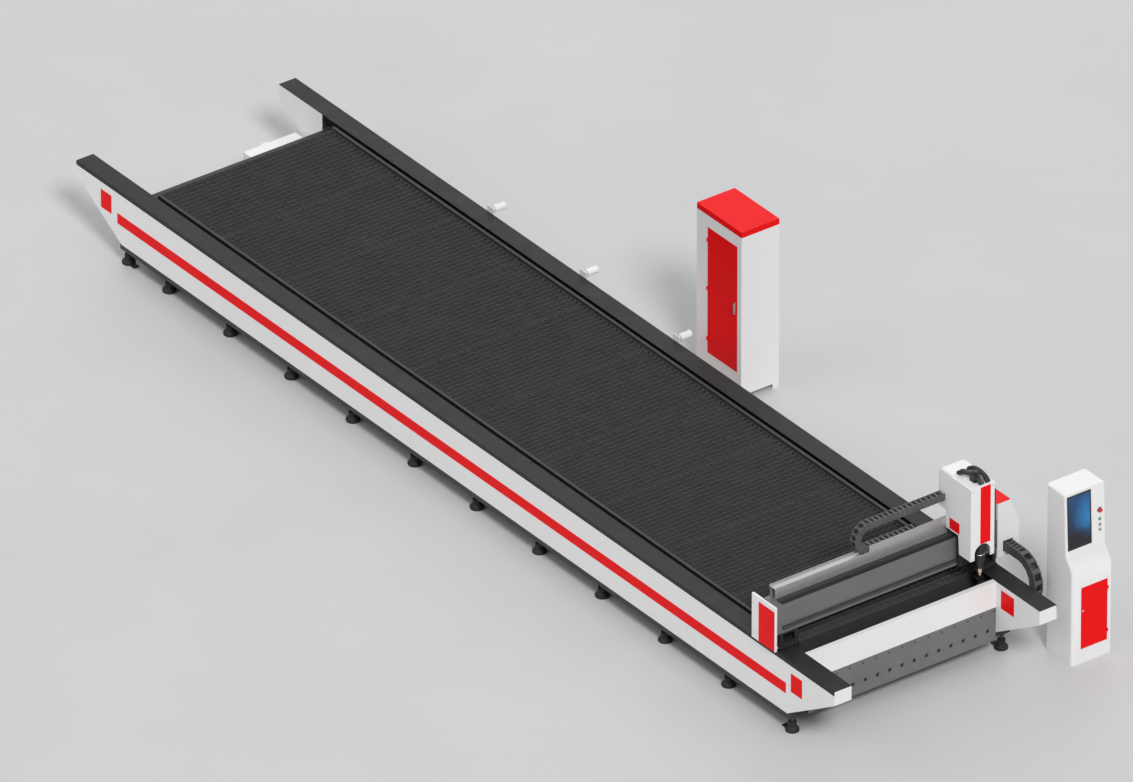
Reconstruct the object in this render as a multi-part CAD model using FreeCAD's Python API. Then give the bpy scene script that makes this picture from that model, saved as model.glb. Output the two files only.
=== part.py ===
import FreeCAD, Part
import os, math

os.makedirs("parts", exist_ok=True)
V = FreeCAD.Vector

# ---------------------------------------------------------------- dimensions (mm)
# frame: origin on the floor under the centre of the bed, +X along the bed towards
# the end where the gantry parks, +Y towards the service side, +Z up
TIP_X = 6300.0        # half length over the rail overhangs
BEAM_X = 5560.0       # half length of the side beams
RAIL_OUT = 1360.0     # outer face of the rails
RAIL_IN = 1150.0      # inner edge of the rails
RAIL_TOP = 850.0
BEAM_BOT, BEAM_TOP = 175.0, 690.0
PANEL_BOT, PANEL_TOP = 230.0, 800.0
SHEET = 3.0
FEET_X = [5520, 4485, 3450, 2415, 1380, 345, -690, -1725, -2760, -3795, -4830, -5520]
FOOT_Y = 1280.0
ANCHOR_X = 5420.0     # floor anchor holes in the four corner feet
ANCHOR_R = 9.0

CASSETTE = 1060.0     # slat cassette pitch
CASSETTE_0 = -5290.0
CASSETTES = 10
SLATS_EACH = 16
SLAT_T = 4.0
SLAT_Y = 1070.0
LEDGE_Y0, LEDGE_Y1 = 1074.0, 1106.0   # dark ledge between slats and rail lid
SLAT_TOP, SLAT_BOT = 835.0, 725.0

MODULE = 4.0
TEETH = 18
PITCH = math.pi * MODULE
PINION_R = MODULE * TEETH / 2
RACK_Y = 1165.0       # pitch line of the racks
PINION_Y = RACK_Y - PINION_R
PINION_X = 4950.0
DX = 130.0            # parked position of the gantry, its chains and rollers
CAR_DY = -50.0        # parked position of the carriage
CAB_DX, CON_DX = 80.0, 30.0
RACK_X = PINION_X + DX

GX0, GX1 = 4870.0, 5250.0      # gantry saddles
BX0, BX1 = 5030.0, 5250.0      # gantry beam
BZ0, BZ1 = 1045.0, 1370.0
B_END = 1330.0

XC_Y0, XC_Y1 = 1410.0, 1510.0  # long drag chain
XC_RI, XC_RO = 200.0, 300.0
XC_CX, XC_CZ = 5460.0, 800.0
XC_FIX = 0.0
YC_X0, YC_X1 = 5034.0, 5120.0  # cross drag chain
YC_RI, YC_RO = 92.0, 168.0
YC_CY, YC_CZ = -150.0, 1648.0

HY0, HY1 = 835.0, 1125.0       # head housing
HX0, HX1 = 5128.0, 5530.0
HZ0, HZ1 = 1230.0, 2050.0
HEAD_X, HEAD_Y = 5450.0, 1010.0

ROLLERS_X = [-3130.0, -1580.0, -30.0]
ROLLER_Z, ROLLER_R = 880.0, 40.0

KX0, KX1, KY0, KY1, KZ = 5760.0, 6190.0, 1615.0, 2110.0, 1895.0   # console
CX0, CX1, CY0, CY1, CZ = -540.0, 200.0, 2030.0, 2500.0, 1885.0    # laser cabinet


# ---------------------------------------------------------------- helpers
def box(x0, x1, y0, y1, z0, z1):
    return Part.makeBox(x1 - x0, y1 - y0, z1 - z0, V(x0, y0, z0))


def cyl(p, axis, r, h):
    return Part.makeCylinder(r, h, V(*p), V(*axis))


def prism(pts, plane, a, b):
    """Polygon in the named plane, pushed along the third axis from a to b."""
    if plane == "xz":
        w = [V(x, a, z) for x, z in pts]
        d = V(0, b - a, 0)
    elif plane == "yz":
        w = [V(a, y, z) for y, z in pts]
        d = V(b - a, 0, 0)
    else:
        w = [V(x, y, a) for x, y in pts]
        d = V(0, 0, b - a)
    w.append(w[0])
    return Part.Face(Part.makePolygon(w)).extrude(d)


def fuse(items):
    s = items[0]
    if len(items) > 1:
        s = s.fuse(items[1:])
    return s.removeSplitter()


def cut(a, items):
    return a.cut(items) if items else a


def flip(s):
    """The same piece on the other side of the bed."""
    return s.mirror(V(0, 0, 0), V(0, 1, 0))


def swap(s):
    """The same piece at the other end of the bed."""
    return s.mirror(V(0, 0, 0), V(1, 0, 0))


made = []


def save(name, items, dx=0.0, dy=0.0):
    solids = []
    for s in items if isinstance(items, list) else [items]:
        solids += s.Solids
    if dx or dy:
        solids = [s.translated(V(dx, dy, 0)) for s in solids]
    for s in solids:
        if not s.isValid() or s.Volume <= 0:
            print("BAD SOLID", name, s.Volume)
    shape = solids[0] if len(solids) == 1 else Part.makeCompound(solids)
    shape.exportStep("parts/%s.step" % name)
    made.append((name, len(solids), sum(s.Volume for s in solids)))


# ---------------------------------------------------------------- bed frame
def side_beam():
    b = box(-BEAM_X, BEAM_X, RAIL_IN, RAIL_OUT - SHEET, BEAM_BOT, BEAM_TOP)
    b = b.cut(box(-BEAM_X + 12, BEAM_X - 12, RAIL_IN + 10, RAIL_OUT - SHEET - 10, BEAM_BOT + 10, BEAM_TOP - 10))
    holes = [cyl((x + 517, RAIL_IN - 1, 430), (0, 1, 0), 45, 20) for x in FEET_X[1:-1]]
    return b.cut(holes)


beam = side_beam()
save("side_beams", [beam, flip(beam)])

cross = []
for x in FEET_X[1:-1]:
    t = box(x - 60, x + 60, -RAIL_IN, RAIL_IN, 240, 340)
    cross.append(t.cut(box(x - 52, x + 52, -RAIL_IN - 1, RAIL_IN + 1, 248, 332)))
rear = box(-BEAM_X, -5430, -RAIL_IN, RAIL_IN, BEAM_BOT, 660)
rear = rear.cut(box(-BEAM_X + 8, -5438, -RAIL_IN - 1, RAIL_IN + 1, BEAM_BOT + 8, 652))
save("cross_members", cross + [rear])

# front base: folded channel with a row of round holes along its foot
fb = box(5480, 5600, -RAIL_IN, RAIL_IN, BEAM_BOT, 555)
fb = fb.cut(box(5470, 5594, -RAIL_IN - 1, RAIL_IN + 1, BEAM_BOT + 6, 549))
fb = fb.cut([cyl((5590, -1050 + 150 * i, 312), (1, 0, 0), 22, 20) for i in range(15)])
save("front_base", fb)

# front panel: one sheet, face, top flange and rear leg
fp = fuse([
    box(5600 - SHEET, 5600, -RAIL_IN, RAIL_IN, 555, 850),
    box(5545, 5600, -RAIL_IN, RAIL_IN, 850 - SHEET, 850),
    box(5545, 5545 + SHEET, -RAIL_IN, RAIL_IN, 700, 850),
])
save("front_panel", fp)

# ---------------------------------------------------------------- feet
pads, screws = [], []
for x in FEET_X:
    for s in (1, -1):
        y = s * FOOT_Y
        p = fuse([cyl((x, y, 0), (0, 0, 1), 70, 26),
                  Part.makeCone(64, 46, 30, V(x, y, 26), V(0, 0, 1)),
                  cyl((x, y, 56), (0, 0, 1), 42, 50)])
        if abs(x) > 5500:
            a = math.copysign(ANCHOR_X, x)
            x0, x1 = sorted((x, math.copysign(ANCHOR_X - 32, x)))
            p = fuse([p, box(x0, x1, y - 32, y + 32, 0, 12)])
            p = p.cut(cyl((a, y, -1), (0, 0, 1), ANCHOR_R, 20))
        pads.append(p)
        screws.append(cyl((x, y, 106), (0, 0, 1), 18, BEAM_BOT - 106))
        hexa = [(x + 32 * math.cos(math.radians(60 * i)), y + 32 * math.sin(math.radians(60 * i))) for i in range(6)]
        screws.append(prism(hexa, "xy", BEAM_BOT - 24, BEAM_BOT).cut(cyl((x, y, 100), (0, 0, 1), 18.4, 100)))
save("foot_pads", pads)
save("foot_screws", screws)

# ---------------------------------------------------------------- rail skins
outline = [(-TIP_X, PANEL_TOP), (TIP_X, PANEL_TOP), (TIP_X, 690), (5540, PANEL_BOT), (-5540, PANEL_BOT), (-TIP_X, 690)]
panel = prism(outline, "xz", RAIL_OUT - SHEET, RAIL_OUT)
save("side_panel_right", panel)
save("side_panel_left", flip(panel))

# end shells close the overhangs: inner cheek, sloping floor and nose, one folded sheet
slope = (690 - PANEL_BOT) / (TIP_X - 5540.0)
zb = PANEL_BOT + slope * (BEAM_X - 5540)
L = math.hypot(1, slope)


def shell_end():
    outer = [(BEAM_X, zb), (TIP_X, 690), (TIP_X, RAIL_TOP - 4), (BEAM_X, RAIL_TOP - 4)]
    o = prism(outer, "xz", RAIL_IN, RAIL_OUT - SHEET)
    inner = [(BEAM_X - 1, zb + SHEET * L - slope), (TIP_X - SHEET, 690 + SHEET * L - SHEET * slope),
             (TIP_X - SHEET, RAIL_TOP), (BEAM_X - 1, RAIL_TOP)]
    return o.cut(prism(inner, "xz", RAIL_IN + SHEET, RAIL_OUT))


e = shell_end()
save("end_shells", [e, flip(e), swap(e), swap(flip(e))])

# rail covers: folded lid with an outer lip and an inner standing leg on the beam
lid = fuse([
    box(-TIP_X, TIP_X, RAIL_IN, RAIL_OUT, RAIL_TOP - 4, RAIL_TOP),
    box(-TIP_X, TIP_X, RAIL_OUT - SHEET, RAIL_OUT, PANEL_TOP, RAIL_TOP - 4),
    box(-BEAM_X, BEAM_X, 1322, 1326, BEAM_TOP, RAIL_TOP - 4),
])
save("rail_cover_right", lid)
save("rail_cover_left", flip(lid))

# red trim: a long stripe and a short block at each end of both rails
trim = []
for s in (1, -1):
    def side(x0, x1, z0, z1):
        a, b = sorted((s * RAIL_OUT, s * (RAIL_OUT + 2)))
        return box(x0, x1, a, b, z0, z1)
    trim += [side(-5600, 5520, 450, 570), side(-5880, -5700, 510, 720), side(5600, 5780, 510, 720)]
trim.append(box(5680, 5890, RAIL_IN - 2, RAIL_IN, 580, 790))
save("side_trim", trim)

# ---------------------------------------------------------------- guideways and racks
rail = prism([(1225, BEAM_TOP), (1265, BEAM_TOP), (1265, 706), (1260, 712), (1260, 720), (1265, 726), (1265, 735),
              (1225, 735), (1225, 726), (1230, 720), (1230, 712), (1225, 706)], "yz", -5500, 5500)
save("x_guide_rails", [rail, flip(rail)])

# rack segments, teeth facing the bed, a tooth space at the pinion's centre line
half = PITCH / 2
ta = math.tan(math.radians(20))
back = 0.12
racks = []
first = int(math.ceil((-5500 - RACK_X) / PITCH))
count_all = int(math.floor((5500 - RACK_X) / PITCH)) - first
seg = 80
k = first
while k < first + count_all:
    n = min(seg, first + count_all - k)
    pts = []
    for i in range(n):
        c = RACK_X + (k + i + 0.5) * PITCH        # tooth centre
        wr = half / 2 - back + 1.25 * MODULE * ta
        wt = half / 2 - back - MODULE * ta
        yr, yt = RACK_Y + 1.25 * MODULE, RACK_Y - MODULE
        if i == 0:
            pts.append((c - half + 0.3, yr))
        pts += [(c - wr, yr), (c - wt, yt), (c + wt, yt), (c + wr, yr)]
    pts.append((c + half - 0.3, yr))
    pts += [(c + half - 0.3, 1190), (RACK_X + k * PITCH + 0.3, 1190)]
    racks.append(prism(pts, "xy", BEAM_TOP, 728))
    k += n
save("x_racks", racks + [flip(r) for r in racks])

# ---------------------------------------------------------------- slat bed
slats, bars = [], []
pitch_s = CASSETTE / SLATS_EACH
n_teeth = 26
tooth = 2 * SLAT_Y / n_teeth
top = []
for i in range(n_teeth):
    y = -SLAT_Y + i * tooth
    top += [(y + 0.5, SLAT_TOP - 14), (y + tooth / 2 - 3, SLAT_TOP), (y + tooth / 2 + 3, SLAT_TOP)]
top.append((SLAT_Y, SLAT_TOP - 14))
slat_outline = top + [(SLAT_Y, 771), (1046, 771), (1036, SLAT_BOT), (-1036, SLAT_BOT), (-1046, 771), (-SLAT_Y, 771)]
slat_x = []
for c in range(CASSETTES):
    for i in range(SLATS_EACH):
        slat_x.append(CASSETTE_0 + c * CASSETTE + (i + 0.5) * pitch_s)
for x in slat_x:
    slats.append(prism(slat_outline, "yz", x - SLAT_T / 2, x + SLAT_T / 2))
save("slats", slats)

for c in range(CASSETTES):
    x0 = CASSETTE_0 + c * CASSETTE + 8
    x1 = x0 + CASSETTE - 16
    pts = [(x0, 645), (x0, 825)]
    for i in range(SLATS_EACH):
        x = CASSETTE_0 + c * CASSETTE + (i + 0.5) * pitch_s
        pts += [(x - 3, 825), (x - 3, 769), (x + 3, 769), (x + 3, 825)]
    pts += [(x1, 825), (x1, 645)]
    b = prism(pts, "xz", 1052, 1062)
    bars += [b, flip(b)]
# ledges: one angle bar on each side, standing on the crossbars
ledge = fuse([box(CASSETTE_0, CASSETTE_0 + CASSETTES * CASSETTE, LEDGE_Y0, LEDGE_Y1, 846, 850),
              box(CASSETTE_0, CASSETTE_0 + CASSETTES * CASSETTE, 1078, 1082, 645, 846)])
bars += [ledge, flip(ledge)]
save("slat_bars", bars)

# end bars under the cassette joints, carried on lugs from the side beams
ends = []
for c in range(CASSETTES + 1):
    x = CASSETTE_0 + c * CASSETTE
    x = min(max(x, CASSETTE_0 + 4), CASSETTE_0 + CASSETTES * CASSETTE - 4)
    ends.append(fuse([box(x - 6, x + 6, -RAIL_IN, RAIL_IN, 600, 645),
                      box(x - 6, x + 6, -1046, 1046, 645, 823)]))
save("slat_crossbars", ends)

pans = []
for i in range(5):
    x0 = -5400 + i * 2170
    x1 = x0 + 2160
    pans.append(fuse([box(x0, x1, -1130, 1130, 340, 343),
                      box(x0, x1, -1130, -1127, 343, 372), box(x0, x1, 1127, 1130, 343, 372)]))
save("slag_pans", pans)

# ---------------------------------------------------------------- fume box at the far end
fx = box(-5950, -BEAM_X, 450, 1100, 220, 470).cut(box(-5947, -BEAM_X - 3, 453, 1097, 223, 467))
fx = fuse([fx, cyl((-6030, 775, 325), (1, 0, 0), 103, 82)])
fx = fx.cut(cyl((-6031, 775, 325), (1, 0, 0), 100, 90))
save("exhaust_box", fx)

# ---------------------------------------------------------------- long drag chain and its tray
tray = fuse([box(-20, 5750, 1385, 1535, 490, 493),
             box(-20, 5750, 1385, 1388, 493, 600), box(-20, 5750, 1532, 1535, 493, 600)])
arms = []
for x in [100, 880, 1660, 2440, 3220, 4000, 4780, 5480]:
    arms.append(fuse([box(x - 30, x + 30, RAIL_OUT + 2, 1535, 484, 490), box(x - 30, x + 30, RAIL_OUT, RAIL_OUT + 6, 380, 449),
                      prism([(RAIL_OUT + 2, 449), (RAIL_OUT + 2, 484), (1440, 484), (RAIL_OUT + 6, 420), (RAIL_OUT + 2, 420)], "yz", x - 3, x + 3)]))
save("x_chain_tray", [tray] + arms)

brackets = []
for x in ROLLERS_X:
    brackets.append(fuse([box(x - 55, x + 55, RAIL_OUT, 1368, 806, 918),
                          cyl((x, 1368, ROLLER_Z), (0, 1, 0), 24, 22),
                          cyl((x, 1368, ROLLER_Z), (0, 1, 0), 10, 176)]))
save("roller_brackets", brackets, DX)
for i, x in enumerate(ROLLERS_X):
    r = cyl((x, 1396, ROLLER_Z), (0, 1, 0), ROLLER_R, 132)
    r = r.cut([cyl((x, 1390, ROLLER_Z), (0, 1, 0), 10.06, 150)])
    r = fuse([r, cyl((x, 1396, ROLLER_Z), (0, 1, 0), ROLLER_R + 4, 6).cut(cyl((x, 1390, ROLLER_Z), (0, 1, 0), 20, 20)),
              cyl((x, 1522, ROLLER_Z), (0, 1, 0), ROLLER_R + 4, 6).cut(cyl((x, 1510, ROLLER_Z), (0, 1, 0), 20, 30))])
    save("chain_roller_%d" % (i + 1), r, DX)

save("x_chain_lower", box(XC_FIX, XC_CX, XC_Y0, XC_Y1, XC_CZ - XC_RO, XC_CZ - XC_RI), DX)
save("x_chain_upper", box(5120, XC_CX, XC_Y0, XC_Y1, XC_CZ + XC_RI, XC_CZ + XC_RO), DX)
ring = cyl((XC_CX, XC_Y0, XC_CZ), (0, 1, 0), XC_RO, XC_Y1 - XC_Y0).cut(
    cyl((XC_CX, XC_Y0 - 1, XC_CZ), (0, 1, 0), XC_RI, XC_Y1 - XC_Y0 + 2))
save("x_chain_bend", ring.common(box(XC_CX, XC_CX + 400, XC_Y0, XC_Y1, 400, 1200)), DX)

# ---------------------------------------------------------------- gantry
gb = box(BX0, BX1, -1365, B_END, BZ0, BZ1).cut(box(BX0 + 8, BX1 - 8, -1366, B_END + 1, BZ0 + 8, BZ1 - 8))
save("gantry_beam", gb, DX)


def saddle():
    s = fuse([
        box(GX0 + 10, GX1 - 10, 1092, 1300, 764, 790),          # foot plate over the guide blocks
        box(5020, 5240, 1110, 1136, 790, 862),                  # rib through the slot beside the lid
        box(4880, 4912, 1110, 1136, 790, 862),
        box(GX0, GX1, 1080, B_END, 862, 887),                   # top plate over the lid
        box(5040, 5240, 1100, 1320, 887, BZ0),                  # riser under the beam
    ])
    s = s.cut([box(5058, 5222, 1118, 1302, 905, BZ0 - 16),      # hollow riser, open to both sides
               box(5030, 5250, 1140, 1280, 920, BZ0 - 30),
               cyl((PINION_X, PINION_Y, 760), (0, 0, 1), 20, 140)])
    return s


sad = saddle()
save("saddle_right", sad, DX)
save("saddle_left", flip(sad), DX)

blocks = []
for x in (4940, 5170):
    b = box(x - 55, x + 55, 1190.5, 1299, 700, 764)
    b = b.cut(prism([(1224.4, 699), (1265.6, 699), (1265.6, 706.2), (1260.6, 712.2), (1260.6, 719.8), (1265.6, 725.8),
                     (1265.6, 735.6), (1224.4, 735.6), (1224.4, 725.8), (1229.4, 719.8), (1229.4, 712.2), (1224.4, 706.2)],
                    "yz", x - 60, x + 60))
    blocks += [b, flip(b)]
save("x_guide_blocks", blocks, DX)

# gearmotor on each saddle, its output bored for the pinion shaft
motors = []
m = fuse([box(PINION_X - 48, PINION_X + 48, PINION_Y - 48, PINION_Y + 48, 887, 903),
          cyl((PINION_X, PINION_Y, 903), (0, 0, 1), 44, 90),
          box(PINION_X - 43, PINION_X + 43, PINION_Y - 43, PINION_Y + 43, 993, 1160),
          box(PINION_X - 26, PINION_X + 26, PINION_Y - 70, PINION_Y - 43, 1110, 1145)])
m = m.cut(cyl((PINION_X, PINION_Y, 880), (0, 0, 1), 12.05, 60))
motors = [m, flip(m)]
save("x_motors", motors, DX)


def gear_points(z, mod, backlash):
    """Outline of a spur gear with involute flanks, a tooth centred on angle 0."""
    r = mod * z / 2.0
    rb = r * math.cos(math.radians(20))
    ra, rf = r + mod, r - 1.2 * mod
    inv = math.tan(math.radians(20)) - math.radians(20)
    half_t = math.pi / (2 * z) - backlash / r
    pts = []
    for t in range(z):
        c = 2 * math.pi * t / z
        prof = []
        start = max(rb, rf)
        for i in range(5):
            rr = start + (ra - start) * i / 4.0
            al = math.acos(min(1, rb / rr))
            prof.append((rr, half_t + inv - (math.tan(al) - al)))
        if rf < rb:
            prof.insert(0, (rf, prof[0][1] + 0.01))
        pts += [(rr * math.cos(c - a), rr * math.sin(c - a)) for rr, a in prof]
        pts += [(rr * math.cos(c + a), rr * math.sin(c + a)) for rr, a in reversed(prof)]
    return pts


gp = gear_points(TEETH, MODULE, 0.12)
gp = [(PINION_X + x * math.cos(math.pi / 2) - y * math.sin(math.pi / 2),
       PINION_Y + x * math.sin(math.pi / 2) + y * math.cos(math.pi / 2)) for x, y in gp]
pin = fuse([prism(gp, "xy", 696, 726), cyl((PINION_X, PINION_Y, 726), (0, 0, 1), 12, 205)])
save("x_pinion_right", pin, DX)
save("x_pinion_left", flip(pin), DX)

# left end cover: shallow folded box over the beam end
ec = box(GX0, GX1, -1390, -1365, 856, 1360).cut(box(GX0 + 3, GX1 - 3, -1387, -1364, 859, 1357))
ec = fuse([ec] + [box(x, x + 30, -1387, -B_END, 862, 887) for x in (4900, 5190)])
save("end_cover_left", ec, DX)

# right end box, its outer top corner sloped, open where the long chain enters
prof = [(B_END, 935), (1600, 935), (1600, 1290), (1490, 1560), (B_END, 1560)]
prof_in = [(B_END + 3, 938), (1597, 938), (1597, 1289), (1488, 1557), (B_END + 3, 1557)]
eb = prism(prof, "yz", GX0, GX1).cut(prism(prof_in, "yz", GX0 + 3, GX1 - 3))
eb = eb.cut(box(GX1 - 10, GX1 + 10, 1400, 1520, 990, 1110))
save("end_box_right", eb, DX)

et = [box(4985, 5240, -1392, -1390, 858, 1310),
      box(GX0, GX1, B_END, 1490, 1560, 1563),
      prism([(1600, 1290), (1602, 1291), (1492, 1561), (1490, 1560)], "yz", GX0 + 20, GX1 - 20)]
save("end_trim", et, DX)

gr = [box(5175, 5205, -1300, 1300, BZ1, 1392), box(BX1, 5272, -1300, 1300, 1095, 1125)]
save("y_guide_rails", gr, DX)

yt = fuse([box(5024, 5126, -1290, 1290, 1472, 1475), box(5024, 5027, -1290, 1290, 1475, 1492),
           box(5123, 5126, -1290, 1290, 1475, 1492), box(5123, 5126, -150, 1290, 1492, 1560),
           box(5036, 5039, -1290, 1290, BZ1, 1472), box(5112, 5115, -1290, 1290, BZ1, 1472)])
save("y_chain_tray", yt, DX)
save("y_chain_lower", box(YC_X0, YC_X1, YC_CY, 450, YC_CZ - YC_RO, YC_CZ - YC_RI), DX)
save("y_chain_upper", box(YC_X0, YC_X1, YC_CY, HY0 + CAR_DY, YC_CZ + YC_RI, YC_CZ + YC_RO), DX)
ring = cyl((YC_X0, YC_CY, YC_CZ), (1, 0, 0), YC_RO, YC_X1 - YC_X0).cut(
    cyl((YC_X0 - 1, YC_CY, YC_CZ), (1, 0, 0), YC_RI, YC_X1 - YC_X0 + 2))
save("y_chain_bend", ring.common(box(YC_X0, YC_X1, YC_CY - 300, YC_CY, 1300, 1900)), DX)

# ---------------------------------------------------------------- carriage and head
cp = fuse([box(5140, 5320, 855, 1105, 1404, 1424), box(5290, 5320, 855, 1105, 1070, 1424)])
save("carriage_plate", cp, DX, CAR_DY)
yb = []
for y in (900, 1060):
    b = box(5155, 5225, y - 38, y + 38, 1376, 1404).cut(box(5174.4, 5205.6, y - 50, y + 50, 1370, 1392.6))
    c = box(5256, 5290, y - 38, y + 38, 1080, 1140).cut(box(5250, 5272.6, y - 50, y + 50, 1094.4, 1125.6))
    yb += [b, c]
save("y_guide_blocks", yb, DX, CAR_DY)

side = [(HX0, HZ1), (HX1, HZ1), (HX1, HZ0), (5345, HZ0), (5330, 1440), (HX0, 1440)]
h = prism(side, "xz", HY0, HY1)
h = h.cut(prism([(HX0 + 3, HZ1 - 3), (HX1 - 3, HZ1 - 3), (HX1 - 3, 1200), (5200, 1200), (5200, 1430), (HX0 + 3, 1430)],
                "xz", HY0 + 3, HY1 - 3))
yc = (HY0 + HY1) / 2
arch = fuse([box(HX1 - 10, HX1 + 10, HY0 + 50, HY1 - 50, 1200, 1300), cyl((HX1 - 10, yc, 1295), (1, 0, 0), 95, 20)])
h = h.cut(arch)
save("z_housing", h, DX, CAR_DY)

def hood_form(x0, x1, x2, y0, y1, z0, zm, z1, r):
    f = fuse([box(x0, x1, y0, y1, z0, z1), box(x1, x2, y0, y1, zm, z1)])
    pick = []
    for e in f.Edges:
        bb = e.BoundBox
        top = abs(bb.ZMin - z1) < 1e-6 and abs(bb.ZMax - z1) < 1e-6
        back = abs(bb.XMin - x0) < 1e-6 and abs(bb.XMax - x0) < 1e-6
        if top and back:
            crown = e
        elif top:
            pick.append(e)
    f = f.makeFillet(r + 42, [crown])
    pick = []
    for e in f.Edges:
        bb = e.BoundBox
        cheek = bb.YLength < 1e-6 and (abs(bb.YMin - y0) < 1e-6 or abs(bb.YMin - y1) < 1e-6)
        front = abs(bb.ZMin - z1) < 1e-6 and abs(bb.ZMax - z1) < 1e-6 and abs(bb.XMin - x2) < 1e-6
        if (cheek and bb.ZMax > zm + 1 and bb.ZMin > z0 - 1 and bb.XMax < x2 - 1e-3 or front) and bb.ZMin >= z0 - 1e-6:
            if not (bb.ZLength < 1e-6 and abs(bb.ZMin - z0) < 1e-6):
                pick.append(e)
        elif cheek and abs(bb.ZMin - z1) < 1e-6 and abs(bb.ZMax - z1) < 1e-6:
            pick.append(e)
    return f.makeFillet(r, pick)


hood = hood_form(5000, HX0, 5215, HY0, HY1, 1640, HZ1, 2080, 28)
hood = hood.cut(hood_form(5003, HX0 - 3, 5212, HY0 + 3, HY1 - 3, 1600, HZ1 - 0.5, 2077, 25))
save("top_hood", hood, DX, CAR_DY)

ht = [box(HX1, HX1 + 2, 953, 1076, 1392, 2040), box(5190, 5350, HY0 - 2, HY0, 1460, 1580)]
save("housing_trim", ht, DX, CAR_DY)

zm = fuse([box(5362, 5442, 940, 1020, HZ1, 2062), box(5366, 5438, 944, 1016, 2062, 2140),
           cyl((5402, 980, 2140), (0, 0, 1), 30, 20), box(5438, 5462, 960, 1000, 2085, 2125)])
tr = box(5395, 5495, HY1, HY1 + 52, 1330, 1930)
tr = tr.makeFillet(16, [e for e in tr.Edges if abs(e.BoundBox.YMin - HY1 - 52) < 1e-6])
save("z_motor", [zm, tr], DX, CAR_DY)

zs = fuse([box(5323, 5343, 872, 1092, 1190, 1620), box(5343, 5400, 975, 1045, 1300, 1380),
           box(5343, 5400, 975, 1045, 1480, 1560)])
save("z_slide", zs, DX, CAR_DY)
hd = fuse([box(HEAD_X - 50, HEAD_X + 44, HEAD_Y - 45, HEAD_Y + 45, 1280, 1580),
           cyl((HEAD_X, HEAD_Y, 1150), (0, 0, 1), 46, 130),
           cyl((HEAD_X, HEAD_Y, 1190), (0, 0, 1), 52, 24),
           Part.makeCone(34, 46, 50, V(HEAD_X, HEAD_Y, 1100), V(0, 0, 1)),
           cyl((HEAD_X, HEAD_Y, 1072), (0, 0, 1), 34, 28)])
save("cutting_head", hd, DX, CAR_DY)
nz = fuse([cyl((HEAD_X, HEAD_Y, 1036), (0, 0, 1), 30, 36), Part.makeCone(7, 26, 56, V(HEAD_X, HEAD_Y, 980), V(0, 0, 1))])
nz = nz.cut(cyl((HEAD_X, HEAD_Y, 970), (0, 0, 1), 1.6, 110))
save("nozzle", nz, DX, CAR_DY)

# ---------------------------------------------------------------- control console
SHELF = (6090.0, 1210.0)
lean = math.degrees(math.atan2(SHELF[0] - 6060.0, KZ - SHELF[1]))


def leaned(s):
    """From upright at the shelf edge to the leaning front of the console."""
    return s.rotated(V(SHELF[0], 0, SHELF[1]), V(0, 1, 0), -lean)


prof = [(KX0, 0), (KX1, 0), (KX1, 1065), SHELF, (6060, KZ), (KX0, KZ)]
prof_in = [(KX0 + 3, -1), (KX1 - 3, -1), (KX1 - 3, 1064), (SHELF[0] - 3, SHELF[1] - 1), (6057, KZ - 3), (KX0 + 3, KZ - 3)]


def rounded_sides(f, y0, y1, r):
    """Rounds the outline edges of both cheeks, all but the bottom ones."""
    pick = []
    for e in f.Edges:
        bb = e.BoundBox
        if bb.YLength < 1e-6 and (abs(bb.YMin - y0) < 1e-6 or abs(bb.YMin - y1) < 1e-6) and bb.ZMax > 10:
            pick.append(e)
    return f.makeFillet(r, pick)


con = rounded_sides(prism(prof, "xz", KY0, KY1), KY0, KY1, 32)
con = con.cut(rounded_sides(prism(prof_in, "xz", KY0 + 3, KY1 - 3), KY0 + 3, KY1 - 3, 29))
con = fuse([con, box(KX0 + 3, KX1 - 3, KY0 + 3, KY1 - 3, 60, 63)])
con = con.cut([box(KX1 - 10, KX1 + 10, 1722, 2048, 163, 867)])
EST = (2028.0, 1600.0)
STA = (2028.0, 1500.0)
con = con.cut([leaned(cyl((SHELF[0] - 20, EST[0], EST[1]), (1, 0, 0), 8.1, 40)),
               leaned(cyl((SHELF[0] - 20, STA[0], STA[1]), (1, 0, 0), 6.1, 40))])
KH_X, KH_Y = KX1 + 6, 2050.0
for z in (240, 730):
    con = fuse([con, cyl((KH_X, KH_Y, z), (0, 0, 1), 5, 20), cyl((KH_X, KH_Y, z + 20), (0, 0, 1), 2, 32),
                box(KX1, KX1 + 2, KH_Y, KH_Y + 22, z, z + 20)])
save("console_shell", con, CON_DX)
dr = [box(KX1 - 3, KX1, 1724, 2046, 165, 865)]
for z in (240, 730):
    dr.append(fuse([cyl((KH_X, KH_Y, z + 20.3), (0, 0, 1), 5, 34), box(KX1, KX1 + 2, 2022, KH_Y, z + 20.3, z + 54.3)]))
dr = fuse(dr).cut([cyl((KH_X, KH_Y, z + 15), (0, 0, 1), 2.05, 45) for z in (240, 730)])
save("console_door", dr, CON_DX)
scr = leaned(box(SHELF[0], SHELF[0] + 8, 1632, 1922, 1270, 1870).cut(box(SHELF[0] + 5, SHELF[0] + 10, 1646, 1908, 1284, 1856)))
save("console_screen", scr, CON_DX)
es = fuse([cyl((SHELF[0] - 14, EST[0], EST[1]), (1, 0, 0), 8, 30), cyl((SHELF[0] + 12, EST[0], EST[1]), (1, 0, 0), 20, 12),
           Part.makeCone(20, 14, 4, V(SHELF[0] + 24, EST[0], EST[1]), V(1, 0, 0))])
save("estop_button", leaned(es), CON_DX)
st = fuse([cyl((SHELF[0] - 14, STA[0], STA[1]), (1, 0, 0), 6, 22), cyl((SHELF[0] + 5, STA[0], STA[1]), (1, 0, 0), 12, 7)])
save("start_button", leaned(st), CON_DX)

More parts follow.
